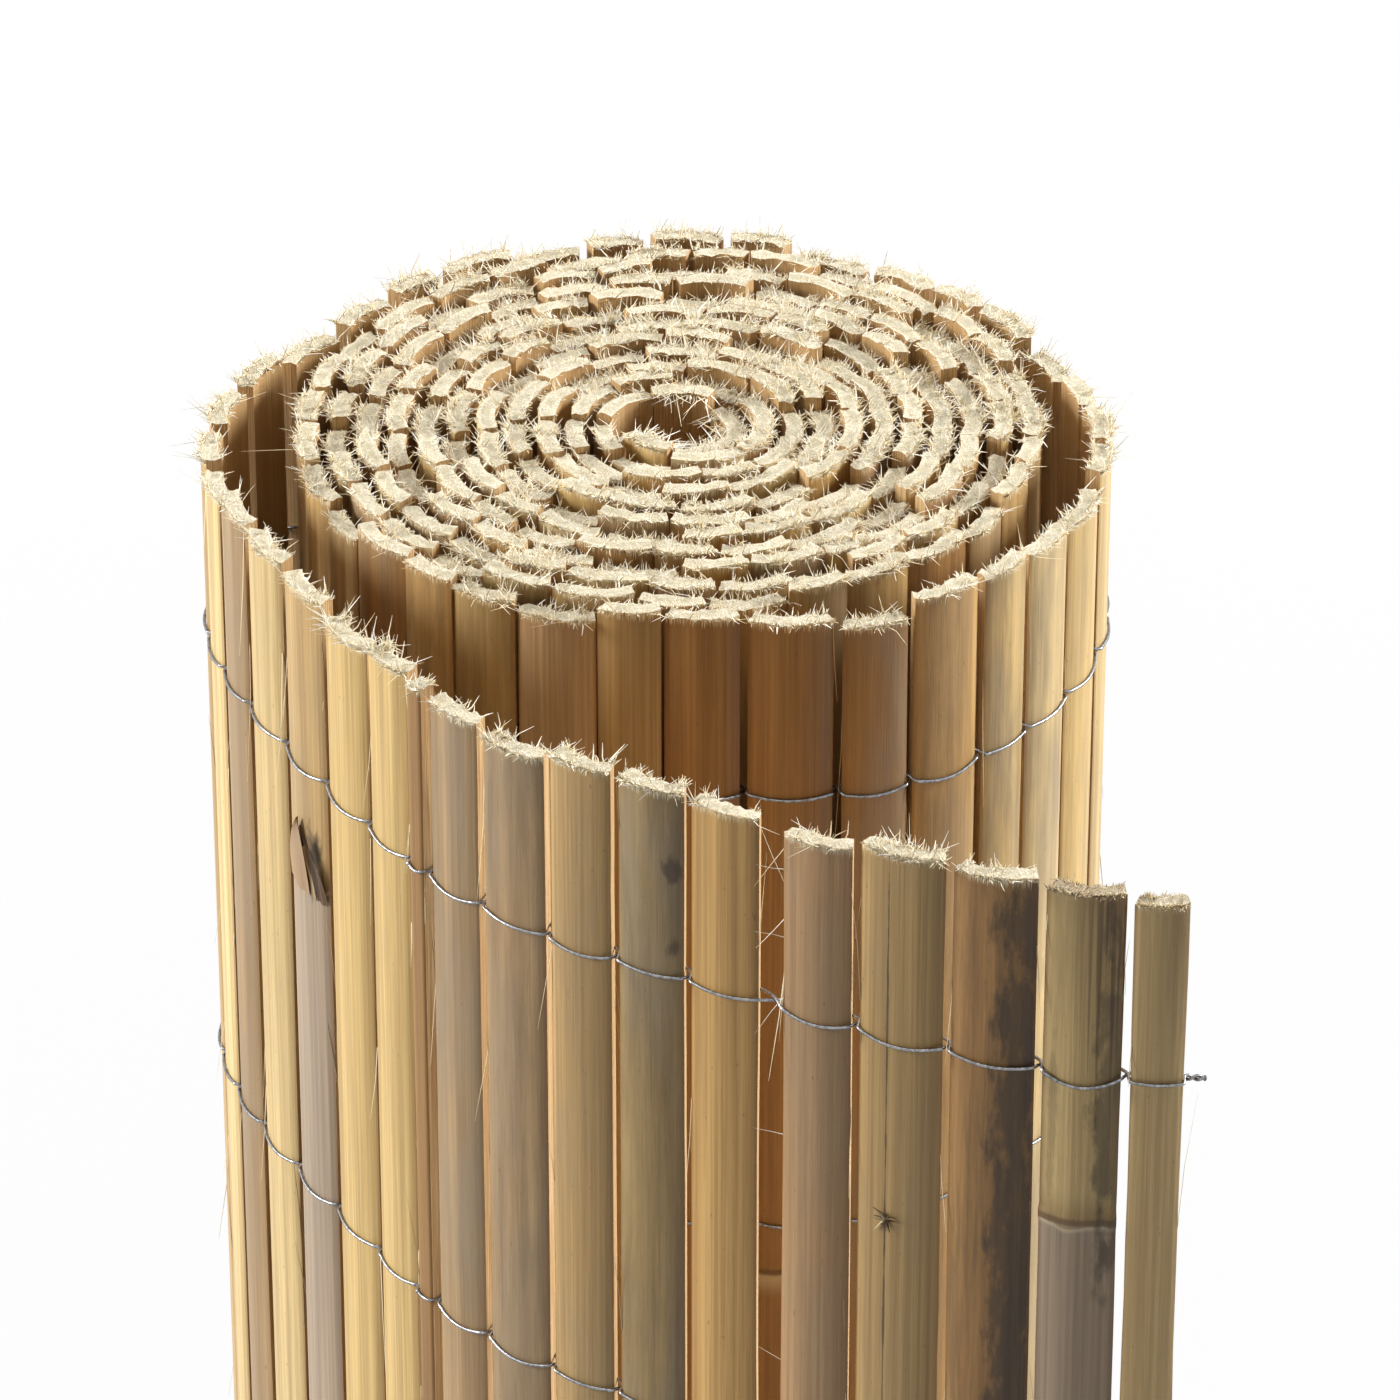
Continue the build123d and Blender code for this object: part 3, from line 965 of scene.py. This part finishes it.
piece = Piece()
for place, slat in enumerate(loose_slats):
    rng = np.random.default_rng(LOOSE_SEED + place)
    look = rolled_look(rng)
    from_end = len(loose_slats) - 1 - place
    # Painted shade: the loose turn's last slats take browner colours towards its shaded inner end
    if from_end < len(INNER_END_SHADED_TONES):
        look.tone = TONES[INNER_END_SHADED_TONES[from_end]]
    add_slat(piece, slat, look, rng, LOOSE_DETAIL)
show(piece, "loose_turn_slats", bamboo)

for turn in range(TIGHT_TURNS):
    name = f"tight_turn_{turn + 1:02d}_slats"
    piece = Piece()
    for place, slat in enumerate(read_slats(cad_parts[name])):
        rng = np.random.default_rng(TIGHT_SEED + 100 * turn + place)
        look = rolled_look(rng)
        # Painted shade: the outermost turns take darker, duller colours for the roll's shaded front
        if turn >= OUTER_TURN:
            look.tone = TONES[OUTER_SHADED_TONES[place % len(OUTER_SHADED_TONES)]]
        add_slat(piece, slat, look, rng, TIGHT_DETAIL)
        if turn == 0:
            fill_core(piece, slat, rng, CORE_FIBRES)
    show(piece, name, bamboo)


# Binding wires


def strand_path(slats, height, starts_in_front, slack, rng):
    """One strand: across the front of a slat, through the gap, behind the next one, and so on."""
    path = []
    exits = [edge_share(slat, after.middle) for slat, after in zip(slats, slats[1:])]
    exits.append(exits[-1])
    in_front = starts_in_front
    room = WIRE_RADIUS + WIRE_ROOM
    for place, (slat, leaving) in enumerate(zip(slats, exits)):
        if in_front:
            sag = rng.uniform(*WIRE_SAG) + slack.get(place, 0.0)
            for share in FRONT_SHARES:
                drop = sag * (1.0 - share**2)
                path.append(slat.at(leaving * share, CANE_RADIUS + room, height - drop))
        else:
            flat = (CANE_RADIUS - WALL) * math.cos(slat.half_angle)
            for share in BACK_SHARES:
                chord = flat / math.cos(share * slat.half_angle)
                path.append(slat.at(leaving * share, chord - room, height))
        if place + 1 < len(slats):
            lift = STRAND_PARTING if in_front else -STRAND_PARTING
            this_edge = slat.at(leaving, CANE_RADIUS - WALL / 2.0, height + lift)
            after = slats[place + 1]
            next_edge = after.at(edge_share(after, slat.middle), CANE_RADIUS - WALL / 2.0, height + lift)
            path.append((this_edge + next_edge) / 2.0)
        in_front = not in_front
    return np.array(path)


def smooth(path, steps):
    """A smooth line through the points of a path."""
    padded = np.concatenate([2.0 * path[:1] - path[1:2], path, 2.0 * path[-1:] - path[-2:-1]])
    before, start, end, after = padded[:-3], padded[1:-2], padded[2:-1], padded[3:]
    share = (np.arange(steps) / steps)[None, :, None]
    before, start, end, after = (points[:, None, :] for points in (before, start, end, after))
    line = 0.5 * (
        2.0 * start
        + (end - before) * share
        + (2.0 * before - 5.0 * start + 4.0 * end - after) * share**2
        + (3.0 * start - before - 3.0 * end + after) * share**3
    )
    return np.concatenate([line.reshape(-1, 3), path[-1:]])


def twisted_tail(slat, free_edge, height, phase):
    """The strand's end, wound round its partner just past the slat's free edge."""
    edge = slat.at(free_edge, CANE_RADIUS - WALL / 2.0, height)
    out, aside = sideways(slat)
    away = free_edge * aside
    steps = np.linspace(1.0, 0.12, 9)
    turn = steps * TAIL_HALF_TURNS * math.pi + phase
    winding = np.cos(turn)[:, None] * out + np.sin(turn)[:, None] * np.array([0.0, 0.0, 1.0])
    return edge + away * (TAIL_LENGTH * steps)[:, None] + WIRE_RADIUS * 1.1 * winding


wired_slats = flap_slats + loose_slats
free_edge = -edge_share(flap_slats[0], flap_slats[1].middle)
row_spacing = (SCREEN_HEIGHT - 2.0 * EDGE_MARGIN) / (WIRE_ROWS - 1)
wire = [wire_material()]
for row in range(WIRE_ROWS):
    height = SCREEN_HEIGHT - EDGE_MARGIN - row * row_spacing
    piece = Piece()
    for strand, in_front in enumerate((row % 2 == 0, row % 2 == 1)):
        rng = np.random.default_rng(WIRE_SEED + 10 * row + strand)
        tail = twisted_tail(flap_slats[0], free_edge, height, strand * math.pi)
        slack = {SAGGING: EXTRA_SAG} if row == 0 else {}
        path = np.concatenate([tail, strand_path(wired_slats, height, in_front, slack, rng)])
        line = smooth(path, WIRE_STEPS)
        piece.add(tubes(line, np.full(len(line), WIRE_RADIUS), WIRE_SIDES), 0)
    show(piece, f"wire_row_{row + 1}", wire)


# Floor, light and camera


def white_to_the_eye(tree, lit, whiteness):
    """White where the camera or a mirror looks, and lit as usual for the rest of the light."""

    def combine(operation, *values):
        node = tree.nodes.new("ShaderNodeMath")
        node.operation = operation
        for socket, value in zip(node.inputs, values):
            if isinstance(value, bpy.types.NodeSocket):
                tree.links.new(value, socket)
            else:
                socket.default_value = value
        return node.outputs[0]

    path = tree.nodes.new("ShaderNodeLightPath").outputs
    mirrored = combine("MAXIMUM", path["Is Glossy Ray"], path["Is Transmission Ray"])
    seen = combine("MAXIMUM", path["Is Camera Ray"], mirrored)
    share = combine("MULTIPLY", seen, whiteness)
    in_world = lit.node.type == "BACKGROUND"
    white = tree.nodes.new("ShaderNodeBackground" if in_world else "ShaderNodeEmission")
    white.inputs["Color"].default_value = (1.0, 1.0, 1.0, 1.0)
    white.inputs["Strength"].default_value = 1.0
    mix = tree.nodes.new("ShaderNodeMixShader")
    for socket, value in zip(mix.inputs, (share, lit, white.outputs[0])):
        tree.links.new(value, socket)
    return mix.outputs[0]


floor_mesh = bpy.data.meshes.new("floor")
corner_signs = ((-1.0, -1.0), (1.0, -1.0), (1.0, 1.0), (-1.0, 1.0))
floor_corners = [(FLOOR_REACH * x, FLOOR_REACH * y, -FLOOR_DROP) for x, y in corner_signs]
floor_mesh.from_pydata(floor_corners, [], [(0, 1, 2, 3)])
floor = bpy.data.objects.new("floor", floor_mesh)
bpy.context.scene.collection.objects.link(floor)
paper = Shader("pale_floor")
place_on_floor = paper.node("ShaderNodeNewGeometry").outputs["Position"]
distance = paper.node("ShaderNodeVectorMath", {0: place_on_floor}, operation="LENGTH").outputs["Value"]
paper.finish(FLOOR_GREY, 0.9)
fading = paper.span(distance, *FLOOR_FADE, *FLOOR_WHITENESS)
paper_seen = white_to_the_eye(paper.tree, paper.surface.outputs[0], fading)
paper.tree.links.new(paper_seen, paper.tree.nodes["Material Output"].inputs["Surface"])
floor_mesh.materials.append(paper.material)

world = bpy.data.worlds.new("studio")
world.use_nodes = True
bpy.context.scene.world = world
sky = world.node_tree.nodes["Background"]
sky.inputs["Color"].default_value = SKY_COLOUR
sky.inputs["Strength"].default_value = SKY_STRENGTH
sky_seen = white_to_the_eye(world.node_tree, sky.outputs[0], 1.0)
world.node_tree.links.new(sky_seen, world.node_tree.nodes["World Output"].inputs["Surface"])


def add_lamp(name, place, power):
    """A soft square lamp aimed at the top of the screen."""
    light = bpy.data.lights.new(name, "AREA")
    light.size = LAMP_SIZE
    light.energy = power
    shown = bpy.data.objects.new(name, light)
    shown.location = place
    away = np.array(place) - np.array(LAMP_TARGET)
    shown.rotation_euler = (
        math.atan2(math.hypot(away[0], away[1]), away[2]),
        0.0,
        math.atan2(away[0], -away[1]),
    )
    bpy.context.scene.collection.objects.link(shown)


for name, place, power in LAMPS:
    add_lamp(name, place, power)

lens = bpy.data.cameras.new("camera")
lens.sensor_fit = "HORIZONTAL"
lens.sensor_width = SENSOR
lens.lens = CAMERA_LENS
lens.clip_end = 50.0
camera = bpy.data.objects.new("camera", lens)
camera.location = CAMERA_PLACE
camera.rotation_euler = (math.radians(CAMERA_TILT), 0.0, 0.0)
bpy.context.scene.collection.objects.link(camera)
bpy.context.scene.camera = camera
bpy.context.scene.view_settings.view_transform = "Standard"
